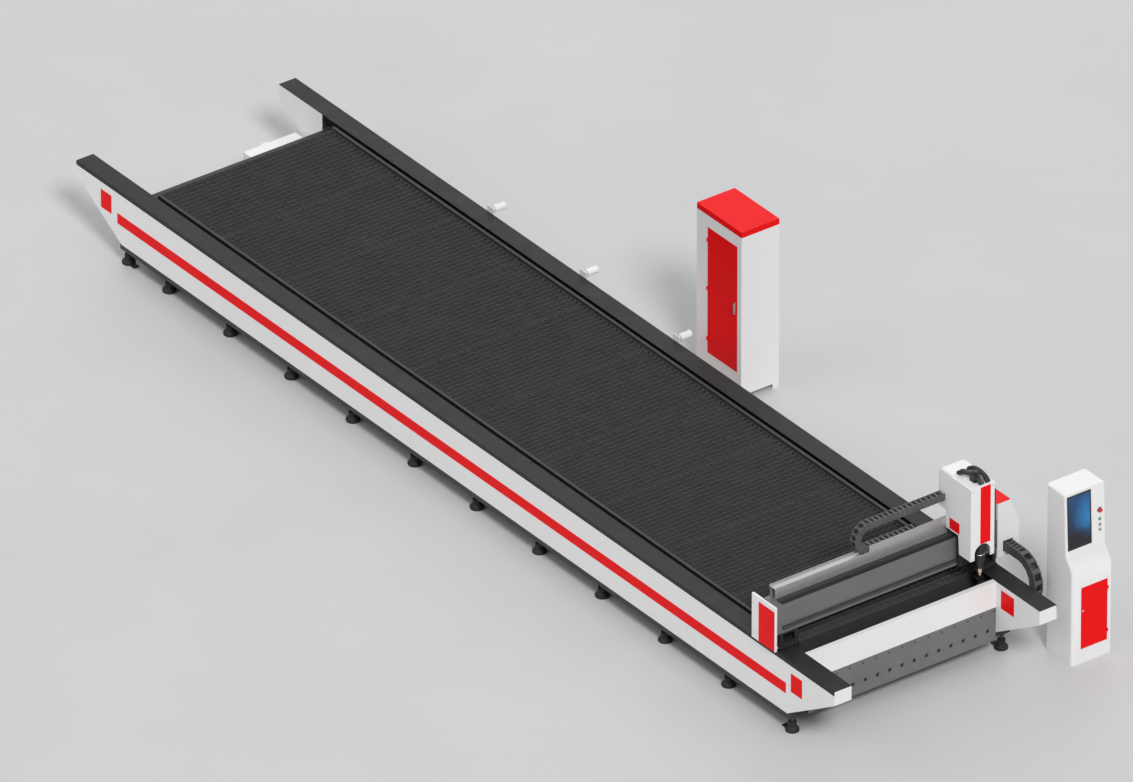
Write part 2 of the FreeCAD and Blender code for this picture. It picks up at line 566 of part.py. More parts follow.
# ---------------------------------------------------------------- laser cabinet
cab = box(CX0, CX1, CY0, CY1, 0, CZ).cut(box(CX0 + 3, CX1 - 3, CY0 + 3, CY1 - 3, -1, CZ - 3))
cab = fuse([cab, box(CX0 + 3, CX1 - 3, CY0 + 3, CY1 - 3, 100, 103)])
cab = cab.cut([box(-362, 132, CY0 - 5, CY0 + 10, 298, 1752),
               box(CX0 + 80, CX1 - 80, CY0 - 1, CY1 + 1, -1, 60), box(CX0 - 1, CX1 + 1, CY0 + 80, CY1 - 80, -1, 60)])
CH_X, CH_Y = -364.0, CY0 - 6
for z in (420, 1000, 1560):
    cab = fuse([cab, cyl((CH_X, CH_Y, z), (0, 0, 1), 5, 24), cyl((CH_X, CH_Y, z + 24), (0, 0, 1), 2, 38),
                box(CH_X - 24, CH_X, CY0 - 2, CY0, z, z + 24)])
save("cabinet_shell", cab, CAB_DX)
cap = box(CX0, CX1, CY0, CY1, CZ, CZ + 65).cut(box(CX0 + 3, CX1 - 3, CY0 + 3, CY1 - 3, CZ - 1, CZ + 62))
save("cabinet_cap", cap, CAB_DX)
dr = [box(-360, 130, CY0, CY0 + 3, 300, 1750)]
for z in (420, 1000, 1560):
    dr.append(fuse([cyl((CH_X, CH_Y, z + 24.3), (0, 0, 1), 5, 40), box(CH_X, -334, CY0 - 2, CY0, z + 24.3, z + 64.3)]))
dr = fuse(dr).cut([cyl((CH_X, CH_Y, z + 20), (0, 0, 1), 2.05, 50) for z in (420, 1000, 1560)])
save("cabinet_door", dr, CAB_DX)
ls = fuse([box(-440, 100, 2090, 2440, 103, 640), box(-400, -370, 2076, 2090, 420, 560), box(30, 60, 2076, 2090, 420, 560)])
save("laser_source", ls, CAB_DX)

tot = 0
for n, c, v in made:
    tot += c
    print("%-18s %4d solids %10.4f dm3" % (n, c, v / 1e6))
print(len(made), "nodes", tot, "solids")
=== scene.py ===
import math
import random

import bmesh
import bpy
from mathutils import Matrix, Vector


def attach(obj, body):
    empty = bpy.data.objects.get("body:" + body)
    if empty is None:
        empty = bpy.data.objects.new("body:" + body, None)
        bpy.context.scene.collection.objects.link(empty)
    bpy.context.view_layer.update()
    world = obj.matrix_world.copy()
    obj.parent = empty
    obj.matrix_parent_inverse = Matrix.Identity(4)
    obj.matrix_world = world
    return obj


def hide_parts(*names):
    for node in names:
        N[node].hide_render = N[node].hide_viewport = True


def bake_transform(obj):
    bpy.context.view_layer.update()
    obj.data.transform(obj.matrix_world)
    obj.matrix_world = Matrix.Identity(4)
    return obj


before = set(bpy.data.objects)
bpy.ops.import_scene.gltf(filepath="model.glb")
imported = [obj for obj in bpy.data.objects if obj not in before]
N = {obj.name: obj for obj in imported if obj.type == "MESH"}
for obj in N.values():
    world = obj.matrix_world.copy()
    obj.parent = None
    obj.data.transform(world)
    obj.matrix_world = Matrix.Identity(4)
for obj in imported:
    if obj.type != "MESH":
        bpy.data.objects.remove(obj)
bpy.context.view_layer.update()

RNG = random.Random(7)
scene = bpy.context.scene
scene.view_settings.view_transform = "Standard"


# ------------------------------------------------------------------ camera, light, floor
def look(obj, back, up):
    z = Vector(back).normalized()
    x = Vector(up).cross(z).normalized()
    y = z.cross(x)
    obj.matrix_world = Matrix((
        (x.x, y.x, z.x, obj.location.x),
        (x.y, y.y, z.y, obj.location.y),
        (x.z, y.z, z.z, obj.location.z),
        (0, 0, 0, 1)))


BACK = Vector((0.6867, -0.5100, 0.5180)).normalized()
cam_data = bpy.data.cameras.new("camera")
cam_data.lens = 900.0
cam_data.sensor_width = 36.0
cam_data.clip_start = 1.0
cam_data.clip_end = 2000.0
cam = bpy.data.objects.new("camera", cam_data)
scene.collection.objects.link(cam)
cam.location = Vector((0.213, -0.080, 0.85)) + BACK * 279.9
look(cam, BACK, (0, 0, 1))
scene.camera = cam


def sun(name, direction, strength, angle, color=(1, 1, 1)):
    d = bpy.data.lights.new(name, "SUN")
    d.energy = strength
    d.angle = math.radians(angle)
    d.color = color
    o = bpy.data.objects.new(name, d)
    scene.collection.objects.link(o)
    look(o, direction, (0, 0, 1))
    return o


sun("key", (0.70, -0.26, 0.70), 1.85, 14, (1.0, 0.985, 0.97))
sun("fill", (-0.2, -0.75, 0.62), 0.36, 40, (0.93, 0.96, 1.0))
sun("rim", (-0.65, 0.6, 0.5), 0.35, 40, (0.95, 0.97, 1.0))
world = bpy.data.worlds.new("studio")
scene.world = world
world.use_nodes = True
wn = world.node_tree.nodes
bg = wn["Background"]
bg.inputs["Strength"].default_value = 0.60
wc = wn.new("ShaderNodeTexCoord")
ws = wn.new("ShaderNodeSeparateXYZ")
wr = wn.new("ShaderNodeValToRGB")
world.node_tree.links.new(wc.outputs["Generated"], ws.inputs[0])
world.node_tree.links.new(ws.outputs["Z"], wr.inputs["Fac"])
world.node_tree.links.new(wr.outputs["Color"], bg.inputs["Color"])
wr.color_ramp.elements[0].position = 0.0
wr.color_ramp.elements[0].color = (0.50, 0.52, 0.55, 1)
wr.color_ramp.elements[1].position = 0.75
wr.color_ramp.elements[1].color = (1, 1, 1, 1)


# ------------------------------------------------------------------ materials
class Graph:
    def __init__(self, name):
        self.mat = bpy.data.materials.new(name)
        self.mat.use_nodes = True
        self.t = self.mat.node_tree
        self.b = self.t.nodes["Principled BSDF"]
        self.co = self.t.nodes.new("ShaderNodeTexCoord").outputs["Object"]

    def node(self, kind, ins=None, **props):
        n = self.t.nodes.new(kind)
        for k, v in props.items():
            setattr(n, k, v)
        for k, v in (ins or {}).items():
            s = n.inputs[k]
            if isinstance(v, bpy.types.NodeSocket):
                self.t.links.new(v, s)
            else:
                s.default_value = v
        return n

    def noise(self, scale, detail=3.0, rough=0.55, stretch=None, distort=0.0):
        co = self.co
        if stretch:
            co = self.node("ShaderNodeMapping", {"Vector": co, "Scale": stretch}).outputs[0]
        return self.node("ShaderNodeTexNoise", {"Vector": co, "Scale": scale, "Detail": detail, "Roughness": rough,
                                                "Distortion": distort}).outputs["Fac"]

    def rng(self, v, a, b, c, d, clamp=True):
        return self.node("ShaderNodeMapRange", {"Value": v, "From Min": a, "From Max": b, "To Min": c, "To Max": d},
                         clamp=clamp).outputs[0]

    def mix(self, f, a, b):
        n = self.node("ShaderNodeMix", data_type="RGBA")
        for i, v in ((0, f), (6, a), (7, b)):
            s = n.inputs[i]
            if isinstance(v, bpy.types.NodeSocket):
                self.t.links.new(v, s)
            else:
                s.default_value = tuple(v) + (1,) if i and len(v) == 3 else v
        return n.outputs[2]

    def math(self, op, a, b=0.0):
        return self.node("ShaderNodeMath", {0: a, 1: b}, operation=op).outputs[0]

    def xyz(self):
        return self.node("ShaderNodeSeparateXYZ", {0: self.co}).outputs

    def set(self, **kw):
        names = {"color": "Base Color", "rough": "Roughness", "metal": "Metallic", "coat": "Coat Weight",
                 "coat_rough": "Coat Roughness", "spec": "Specular IOR Level", "emit": "Emission Color",
                 "emit_s": "Emission Strength", "normal": "Normal", "aniso": "Anisotropic", "ior": "IOR"}
        for k, v in kw.items():
            s = self.b.inputs[names[k]]
            if isinstance(v, bpy.types.NodeSocket):
                self.t.links.new(v, s)
            elif k in ("color", "emit"):
                s.default_value = tuple(v) + (1,)
            else:
                s.default_value = v

    def bump(self, h, strength, distance):
        self.set(normal=self.node("ShaderNodeBump", {"Height": h, "Strength": strength, "Distance": distance}).outputs[0])


def sc(c, k):
    return tuple(min(1.0, x * k) for x in c)


def paint(name, col, rough=0.38, var=0.05, grime=0.10, coat=0.25, peel=0.25, metal=0.0, spec=0.4):
    g = Graph(name)
    big = g.noise(0.9, 4)
    streak = g.noise(2.2, 5, 0.6, (3.0, 3.0, 0.35))
    fine = g.noise(420, 2)
    base = g.mix(g.rng(big, 0.3, 0.7, 0, 1), sc(col, 1 - var), sc(col, 1 + var * 0.4))
    z = g.xyz()["Z"]
    low = g.rng(z, 0.0, 0.9, 1.0, 0.15)
    dirt = g.math("MULTIPLY", g.rng(streak, 0.48, 0.78, 0, 1), low)
    dirt = g.math("MULTIPLY", dirt, grime * 2.2)
    col2 = g.mix(dirt, base, (col[0] * 0.45 + 0.05, col[1] * 0.42 + 0.045, col[2] * 0.40 + 0.035))
    speck = g.rng(g.noise(70, 2, 0.5), 0.70, 0.76, 0, grime)
    g.set(color=g.mix(speck, col2, sc(col, 0.5)), metal=metal, coat=coat, coat_rough=0.12, spec=spec)
    g.set(rough=g.rng(g.math("ADD", g.math("MULTIPLY", streak, 0.6), g.math("MULTIPLY", fine, 0.4)), 0.3, 0.7,
                      max(0.05, rough - 0.08), rough + 0.12))
    g.bump(fine, peel, 0.0006)
    return g.mat


def metal_mat(name, col, rough=0.35, brushed=(1, 1, 1), var=0.12, bump=0.2, metallic=1.0, oil=0.15):
    g = Graph(name)
    br = g.noise(60, 4, 0.6, brushed)
    big = g.noise(1.7, 4)
    c = g.mix(g.rng(br, 0.25, 0.75, 0, 1), sc(col, 1 - var), sc(col, 1 + var))
    c = g.mix(g.rng(big, 0.55, 0.8, 0, oil), c, sc(col, 0.4))
    g.set(color=c, metal=metallic, rough=g.rng(g.math("ADD", g.math("MULTIPLY", br, 0.5), g.math("MULTIPLY", big, 0.5)),
                                               0.3, 0.7, rough - 0.07, rough + 0.13))
    g.bump(br, bump, 0.0008)
    return g.mat


def plastic(name, col, rough=0.5, var=0.1, grain=260, bump=0.25):
    g = Graph(name)
    fine = g.noise(grain, 3)
    big = g.noise(5, 3)
    g.set(color=g.mix(g.rng(big, 0.35, 0.7, 0, 1), sc(col, 1 - var), sc(col, 1 + var)), rough=g.rng(fine, 0.3, 0.7, rough - 0.08, rough + 0.1))
    g.bump(fine, bump, 0.0005)
    return g.mat


WHITE = (0.84, 0.832, 0.832)
m_white = paint("white_paint", WHITE, 0.34, 0.02, 0.025, 0.15)
m_red = paint("red_paint", (0.86, 0.002, 0.004), 0.38, 0.04, 0.03, 0.0, spec=0.12)
m_cover = paint("cover_black", (0.022, 0.023, 0.022), 0.52, 0.12, 0.25, 0.0, 0.5, spec=0.3)
m_frame = paint("frame_grey", (0.040, 0.041, 0.041), 0.55, 0.12, 0.3, 0.0, 0.5)
m_base = paint("base_grey", (0.170, 0.170, 0.168), 0.50, 0.08, 0.25, 0.05, 0.5)
m_black = paint("motor_black", (0.022, 0.022, 0.024), 0.42, 0.15, 0.1, 0.1, 0.4)
m_rubber = plastic("foot_rubber", (0.018, 0.018, 0.018), 0.75, 0.2)
m_chain = plastic("chain_plastic", (0.085, 0.083, 0.080), 0.48, 0.15)
m_hose = plastic("hose_black", (0.020, 0.020, 0.022), 0.45, 0.2)
m_hose2 = plastic("hose_green", (0.055, 0.085, 0.065), 0.45, 0.2)
m_roller = plastic("roller_plastic", (0.80, 0.80, 0.79), 0.42, 0.05)
m_steel = metal_mat("guide_steel", (0.42, 0.42, 0.43), 0.30, (0.3, 6, 6))
m_dark = metal_mat("dark_steel", (0.075, 0.075, 0.076), 0.5, (0.3, 6, 6), 0.15, 0.2, 0.5)
m_screw = metal_mat("screw_zinc", (0.55, 0.55, 0.54), 0.32)
m_tray = metal_mat("tray_alu", (0.50, 0.50, 0.50), 0.38, (1, 0.1, 3), 0.06, 0.15, 0.55, 0.1)
m_brass = metal_mat("nozzle_brass", (0.80, 0.72, 0.58), 0.22)
m_chrome = metal_mat("chrome", (0.75, 0.75, 0.76), 0.14, (1, 1, 1), 0.04, 0.05)
m_btn_red = plastic("button_red", (0.75, 0.008, 0.01), 0.28, 0.06)
m_btn_green = plastic("button_green", (0.02, 0.55, 0.10), 0.28, 0.06)
m_btn_yellow = plastic("button_yellow", (0.85, 0.60, 0.02), 0.28, 0.06)


def slat_mat():
    """Mill-scale steel, burnt and spattered along the saw-toothed tops."""
    g = Graph("slat_steel")
    p = g.xyz()
    z = p["Z"]
    grain = g.noise(26, 5, 0.65, (2, 0.35, 2))
    blot = g.noise(2.6, 5, 0.6)
    spat = g.noise(95, 3, 0.7)
    c = g.mix(g.rng(grain, 0.3, 0.7, 0, 1), (0.074, 0.074, 0.074), (0.108, 0.107, 0.106))
    c = g.mix(g.rng(blot, 0.45, 0.75, 0, 0.55), c, (0.120, 0.118, 0.116))
    top = g.rng(z, 0.815, 0.835, 0, 1)
    burn = g.math("MULTIPLY", top, g.rng(spat, 0.42, 0.62, 0, 0.75))
    c = g.mix(burn, c, (0.150, 0.146, 0.143))
    g.set(color=c, metal=0.35, rough=g.rng(grain, 0.3, 0.7, 0.5, 0.72))
    g.bump(g.math("ADD", grain, g.math("MULTIPLY", spat, top)), 0.5, 0.002)
    return g.mat


m_slat = slat_mat()


def pan_mat():
    g = Graph("slag_pan")
    a, b = g.noise(3.2, 6, 0.7), g.noise(38, 4, 0.7)
    c = g.mix(g.rng(a, 0.35, 0.7, 0, 1), (0.045, 0.045, 0.045), (0.085, 0.082, 0.080))
    g.set(color=g.mix(g.rng(b, 0.58, 0.7, 0, 0.6), c, (0.10, 0.085, 0.075)), metal=0.2, rough=0.7)
    g.bump(b, 0.6, 0.003)
    return g.mat


m_pan = pan_mat()


def beam_mat():
    """Grey stove-enamelled bridge with faint mill lines along its length."""
    g = Graph("beam_grey")
    line = g.noise(40, 4, 0.6, (3, 0.05, 3))
    big = g.noise(1.1, 4)
    c = g.mix(g.rng(line, 0.3, 0.7, 0, 1), (0.150, 0.151, 0.153), (0.182, 0.183, 0.185))
    c = g.mix(g.rng(big, 0.5, 0.75, 0, 0.3), c, (0.10, 0.10, 0.10))
    g.set(color=c, metal=0.25, rough=g.rng(line, 0.3, 0.7, 0.36, 0.5))
    g.bump(line, 0.15, 0.0008)
    return g.mat


m_beam = beam_mat()


def screen_mat():
    """A lit display: dark blue field, a cyan glow to one side and a dark foot."""
    g = Graph("screen_glow")
    p = g.xyz()
    y = g.rng(p["Y"], 1.646, 1.908, 0, 1)
    z = g.rng(p["Z"], 1.284, 1.856, 0, 1)
    dy = g.math("SUBTRACT", y, 0.92)
    dz = g.math("SUBTRACT", z, 0.56)
    r = g.math("SQRT", g.math("ADD", g.math("MULTIPLY", dy, dy), g.math("MULTIPLY", g.math("MULTIPLY", dz, dz), 2.6)))
    glow = g.rng(r, 0.0, 0.75, 1, 0)
    wob = g.noise(7, 3, 0.5)
    field = g.mix(g.rng(z, 0.1, 0.95, 0, 1), (0.0015, 0.003, 0.008), (0.006, 0.05, 0.16))
    field = g.mix(g.math("MULTIPLY", glow, g.rng(wob, 0.2, 0.7, 0.55, 1)), field, (0.012, 0.25, 0.60))
    foot = g.rng(g.math("ADD", z, g.math("MULTIPLY", wob, 0.22)), 0.30, 0.46, 1, 0)
    col = g.mix(g.math("MULTIPLY", foot, g.rng(y, 0.5, 1.0, 1.0, 0.35)), field, (0.003, 0.003, 0.006))
    g.set(color=(0.004, 0.005, 0.008), rough=g.rng(wob, 0.3, 0.7, 0.06, 0.12), emit=col, emit_s=1.0)
    return g.mat


m_screen = screen_mat()


def floor_mat():
    g = Graph("floor")
    a = g.noise(0.35, 4)
    g.set(color=g.mix(g.rng(a, 0.3, 0.7, 0, 1), (0.56, 0.57, 0.58), (0.60, 0.605, 0.61)), rough=0.6)
    g.bump(g.noise(30, 3), 0.05, 0.001)
    return g.mat


bpy.ops.mesh.primitive_plane_add(size=400, location=(0, 0, -0.0008))
floor = bpy.context.object
floor.name = "floor"
floor.data.materials.append(floor_mat())


# ------------------------------------------------------------------ CAD pieces: materials, softened edges
def dress(node, mat):
    o = N[node]
    if not o.data.materials:
        o.data.materials.append(mat)
    for i in range(len(o.data.materials)):
        o.data.materials[i] = mat


def soften(node, width, seg=2, angle=38):
    o = N[node]
    a = o.data.attributes.get("custom_normal")
    if a:
        o.data.attributes.remove(a)
    for p in o.data.polygons:
        p.use_smooth = True
    w = o.modifiers.new("weld", "WELD")
    w.merge_threshold = 0.00002
    b = o.modifiers.new("edge", "BEVEL")
    b.width = width
    b.segments = seg
    b.limit_method = "ANGLE"
    b.angle_limit = math.radians(angle)
    b.use_clamp_overlap = True
    n = o.modifiers.new("shade", "WEIGHTED_NORMAL")
    n.keep_sharp = False
    n.weight = 100


looks = {
    m_white: ["side_panel_left", "side_panel_right", "end_shells", "front_panel", "exhaust_box", "end_cover_left",
              "end_box_right", "z_housing", "top_hood", "console_shell", "cabinet_shell", "roller_brackets"],
    m_red: ["side_trim", "end_trim", "housing_trim", "console_door", "cabinet_cap", "cabinet_door"],
    m_cover: ["rail_cover_left", "rail_cover_right", "saddle_left", "saddle_right", "carriage_plate", "x_chain_tray"],
    m_frame: ["side_beams", "cross_members", "slat_crossbars", "slat_bars"],
    m_base: ["front_base"],
    m_rubber: ["foot_pads"],
    m_slat: ["slats"],
    m_pan: ["slag_pans"],
    m_steel: ["x_guide_blocks", "y_guide_blocks", "x_pinion_left", "x_pinion_right", "z_slide"],
    m_dark: ["x_guide_rails", "x_racks", "y_guide_rails", "foot_screws"],
    m_beam: ["gantry_beam"],
    m_tray: ["y_chain_tray"],
    m_roller: ["chain_roller_1", "chain_roller_2", "chain_roller_3"],
    m_black: ["x_motors", "z_motor", "laser_source", "cutting_head", "console_screen"],
    m_brass: ["nozzle"],
    m_btn_red: ["estop_button"],
    m_btn_green: ["start_button"],
    m_chain: ["x_chain_lower", "x_chain_upper", "x_chain_bend", "y_chain_lower", "y_chain_upper", "y_chain_bend"],
}
for m, names in looks.items():
    for n in names:
        dress(n, m)
for n, w in {"side_panel_left": 0.0012, "side_panel_right": 0.0012, "end_shells": 0.0012, "front_panel": 0.0012,
             "rail_cover_left": 0.0015, "rail_cover_right": 0.0015, "end_cover_left": 0.010, "end_box_right": 0.010,
             "z_housing": 0.010, "top_hood": 0.008, "console_shell": 0.0015, "cabinet_shell": 0.006, "cabinet_cap": 0.008,
             "side_trim": 0.0008, "end_trim": 0.0008, "housing_trim": 0.0008, "console_door": 0.001, "cabinet_door": 0.001,
             "saddle_left": 0.003, "saddle_right": 0.003, "x_motors": 0.003, "z_motor": 0.003, "cutting_head": 0.003,
             "nozzle": 0.0006, "carriage_plate": 0.003, "z_slide": 0.002, "console_screen": 0.002, "estop_button": 0.001,
             "start_button": 0.001, "foot_pads": 0.002, "gantry_beam": 0.006, "front_base": 0.0015, "laser_source": 0.006,
             "roller_brackets": 0.003, "chain_roller_1": 0.002, "chain_roller_2": 0.002, "chain_roller_3": 0.002,
             "exhaust_box": 0.0015, "y_chain_tray": 0.0008}.items():
    soften(n, w)


# ------------------------------------------------------------------ mesh helpers (metres)
class Build:
    """Collects solids into one mesh."""

    def __init__(self):
        self.bm = bmesh.new()

    def box(self, x0, x1, y0, y1, z0, z1, m=None):
        v = [self.bm.verts.new(p) for p in ((x0, y0, z0), (x1, y0, z0), (x1, y1, z0), (x0, y1, z0),
                                            (x0, y0, z1), (x1, y0, z1), (x1, y1, z1), (x0, y1, z1))]
        for f in ((0, 3, 2, 1), (4, 5, 6, 7), (0, 1, 5, 4), (1, 2, 6, 5), (2, 3, 7, 6), (3, 0, 4, 7)):
            self.bm.faces.new([v[i] for i in f])
        if m:
            bmesh.ops.transform(self.bm, matrix=m, verts=v)
        return v

    def lathe(self, origin, axis, rings, n=20, caps=True):
        """Rings of (distance along the axis, radius)."""
        a = Vector(axis).normalized()
        u = a.orthogonal().normalized()
        w = a.cross(u)
        o = Vector(origin)
        rows = []
        for d, r in rings:
            rows.append([self.bm.verts.new(o + a * d + (u * math.cos(2 * math.pi * k / n) + w * math.sin(2 * math.pi * k / n)) * r)
                         for k in range(n)])
        for i in range(len(rows) - 1):
            for k in range(n):
                self.bm.faces.new((rows[i][k], rows[i][(k + 1) % n], rows[i + 1][(k + 1) % n], rows[i + 1][k]))
        if caps:
            self.bm.faces.new(list(reversed(rows[0])))
            self.bm.faces.new(rows[-1])

    def tube(self, pts, r, n=10):
        pts = [Vector(p) for p in pts]
        rows = []
        ref = None
        for i, p in enumerate(pts):
            t = (pts[min(i + 1, len(pts) - 1)] - pts[max(i - 1, 0)]).normalized()
            u = (ref - t * ref.dot(t)).normalized() if ref else t.orthogonal().normalized()
            ref = u
            w = t.cross(u)
            rr = r[i] if isinstance(r, (list, tuple)) else r
            rows.append([self.bm.verts.new(p + (u * math.cos(2 * math.pi * k / n) + w * math.sin(2 * math.pi * k / n)) * rr)
                         for k in range(n)])
        for i in range(len(rows) - 1):
            for k in range(n):
                self.bm.faces.new((rows[i][k], rows[i][(k + 1) % n], rows[i + 1][(k + 1) % n], rows[i + 1][k]))
        self.bm.faces.new(list(reversed(rows[0])))
        self.bm.faces.new(rows[-1])

    def screw(self, p, axis, r=0.006, h=0.0035):
        """Domed head with a hexagon socket."""
        a = Vector(axis).normalized()
        u = a.orthogonal().normalized()
        w = a.cross(u)
        o = Vector(p)
        n = 12

        def ring(d, rad, k=n, off=0.0):
            return [self.bm.verts.new(o + a * d + (u * math.cos(2 * math.pi * i / k + off) + w * math.sin(2 * math.pi * i / k + off)) * rad)
                    for i in range(k)]
        rows = [ring(0, r), ring(h * 0.6, r), ring(h, r * 0.8), ring(h, r * 0.48), ring(h * 0.35, r * 0.44)]
        for i in range(len(rows) - 1):
            for k in range(n):
                self.bm.faces.new((rows[i][k], rows[i][(k + 1) % n], rows[i + 1][(k + 1) % n], rows[i + 1][k]))
        self.bm.faces.new(rows[-1])
        self.bm.faces.new(list(reversed(rows[0])))

    def obj(self, name, mat, bevel=0.0, seg=2, smooth=True, angle=35):
        bmesh.ops.recalc_face_normals(self.bm, faces=self.bm.faces[:])
        me = bpy.data.meshes.new(name)
        self.bm.to_mesh(me)
        self.bm.free()
        for p in me.polygons:
            p.use_smooth = smooth
        me.materials.append(mat)
        o = bpy.data.objects.new(name, me)
        scene.collection.objects.link(o)
        if bevel:
            b = o.modifiers.new("edge", "BEVEL")
            b.width = bevel
            b.segments = seg
            b.limit_method = "ANGLE"
            b.angle_limit = math.radians(angle)
        if smooth:
            n = o.modifiers.new("shade", "WEIGHTED_NORMAL")
            n.weight = 100
        return o


DX, CON, CAB = 0.130, 0.030, 0.080     # parked gantry, console and cabinet stand this far along
DY = -0.050                            # parked carriage


def put(b, name, mat, body, bevel=0.0, seg=2, smooth=True, dx=0.0):
    if body in ("gantry", "carriage", "head"):
        dx = DX
    dy = DY if body in ("carriage", "head") else 0.0
    if dx or dy:
        bmesh.ops.translate(b.bm, vec=(dx, dy, 0), verts=b.bm.verts[:])
    o = b.obj(name, mat, bevel, seg, smooth)
    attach(o, body)
    return o


def bake(o):
    """Applies the modifiers, so the mesh is final."""
    bpy.context.view_layer.update()
    dg = bpy.context.evaluated_depsgraph_get()
    me = bpy.data.meshes.new_from_object(o.evaluated_get(dg))
    o.modifiers.clear()
    o.data = me
    return o


# ------------------------------------------------------------------ drag chains
def s_inv(w):
    """t where t*t*(3-2t) is w."""
    lo, hi = 0.0, 1.0
    for _ in range(60):
        m = (lo + hi) / 2
        if m * m * (3 - 2 * m) < w:
            lo = m
        else:
            hi = m
    return (lo + hi) / 2


def chain_run(name, node, axis, c0, c1, w0, w1, parts, pitch, cross, thick, height):
    """A straight run from c0 (weight w0) to c1 (weight w1) along axis 0 or 1, cut into equal parts.
    cross = (low, high) across the chain, height = (low, high)."""
    k0 = min(c0, c1)
    k1 = max(c0, c1)
    cuts = [c0 + (c1 - c0) * i / parts for i in range(parts + 1)]
    count = max(1, round((k1 - k0) / pitch))
    p = (k1 - k0) / count
    links = [k0 + i * p for i in range(count)]
    for i in range(parts):
        a, b = cuts[i], cuts[i + 1]
        lo, hi = min(a, b), max(a, b)
        bd = Build()

        def bx(q0, q1, s0, s1, z0, z1):
            q0, q1 = max(q0, lo), min(q1, hi)
            if q1 - q0 < 1e-5:
                return
            if axis == 0:
                bd.box(q0, q1, s0, s1, z0, z1)
            else:
                bd.box(s0, s1, q0, q1, z0, z1)
        s0, s1 = cross
        z0, z1 = height
        g = min(0.004, p * 0.06)
        for q in links:
            if q + p <= lo or q >= hi:
                continue
            for e in (s0, s1 - thick):
                bx(q + g, q + p - g, e, e + thick, z0, z1)                       # link plate
                bx(q, q + p, e + thick * 0.25, e + thick * 0.75, z0 + 0.12 * (z1 - z0), z1 - 0.12 * (z1 - z0))
            for zz in (z0 + 0.002, z1 - 0.010):
                bx(q + p * 0.30, q + p * 0.70, s0 + thick, s1 - thick, zz, zz + 0.008)   # cross bars
        hz = z1 - z0
        for f, rr in ((0.28, 0.17), (0.52, 0.20), (0.76, 0.16)):                 # hoses inside
            yc = s0 + (s1 - s0) * f
            zc = z0 + hz * 0.5
            n = 10
            ring = []
            for t in (lo, (lo + hi) / 2, hi):
                c = []
                for k in range(n):
                    ca, sa = math.cos(2 * math.pi * k / n) * rr * hz, math.sin(2 * math.pi * k / n) * rr * hz
                    c.append(bd.bm.verts.new((t, yc + ca, zc + sa) if axis == 0 else (yc + ca, t, zc + sa)))
                ring.append(c)
            for j in range(2):
                for k in range(n):
                    bd.bm.faces.new((ring[j][k], ring[j][(k + 1) % n], ring[j + 1][(k + 1) % n], ring[j + 1][k]))
            bd.bm.faces.new(ring[0])
            bd.bm.faces.new(list(reversed(ring[2])))
        o = bd.obj("%s_%02d" % (name, i), m_chain, 0.0, smooth=False)
        wa, wb = w0 + (w1 - w0) * i / parts, w0 + (w1 - w0) * (i + 1) / parts
        ta, tb = s_inv(wa), s_inv(wb)
        k = (b - a) / (tb - ta)
        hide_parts(node)
        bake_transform(o)


def chain_bend(name, node, body, axis, centre, ri, ro, cross, thick, count, sign):
    """Links round a half turn. axis is the run's direction (0 or 1), sign the side it bulges to."""
    bd = Build()
    s0, s1 = cross
    da = math.pi / count

    def pt(r, a, s):
        q, z = centre[0] + sign * r * math.cos(a), centre[1] + r * math.sin(a)
        return (q, s, z) if axis == 0 else (s, q, z)

    def sector(r0, r1, a0, a1, q0, q1, n=3):
        rows = []
        for i in range(n + 1):
            a = a0 + (a1 - a0) * i / n
            rows.append([bd.bm.verts.new(pt(r, a, s)) for r, s in ((r0, q0), (r1, q0), (r1, q1), (r0, q1))])
        for i in range(n):
            for k in range(4):
                bd.bm.faces.new((rows[i][k], rows[i][(k + 1) % 4], rows[i + 1][(k + 1) % 4], rows[i + 1][k]))
        bd.bm.faces.new(rows[0])
        bd.bm.faces.new(list(reversed(rows[-1])))
    for i in range(count):
        a0 = -math.pi / 2 + i * da
        g = 0.004 / ro
        for e in (s0, s1 - thick):
            sector(ri, ro - 0.001, a0 + g, a0 + da - g, e, e + thick)
            sector(ri + 0.12 * (ro - ri), ro - 0.12 * (ro - ri), a0, a0 + da, e + thick * 0.25, e + thick * 0.75)
        for r in (ri + 0.002, ro - 0.010):
            sector(r, r + 0.008, a0 + da * 0.30, a0 + da * 0.70, s0 + thick, s1 - thick)
    o = bd.obj(name, m_chain, 0.0015, 1, smooth=False)
    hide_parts(node)
    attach(o, body)
    h = Build()
    for f, rr in ((0.28, 0.17), (0.52, 0.20), (0.76, 0.16)):
        rm = (ri + ro) / 2
        h.tube([pt(rm, -math.pi / 2 + math.pi * j / 24, s0 + (s1 - s0) * f) for j in range(25)], rr * (ro - ri), 10)
    put(h, name + "_hoses", m_hose, body)


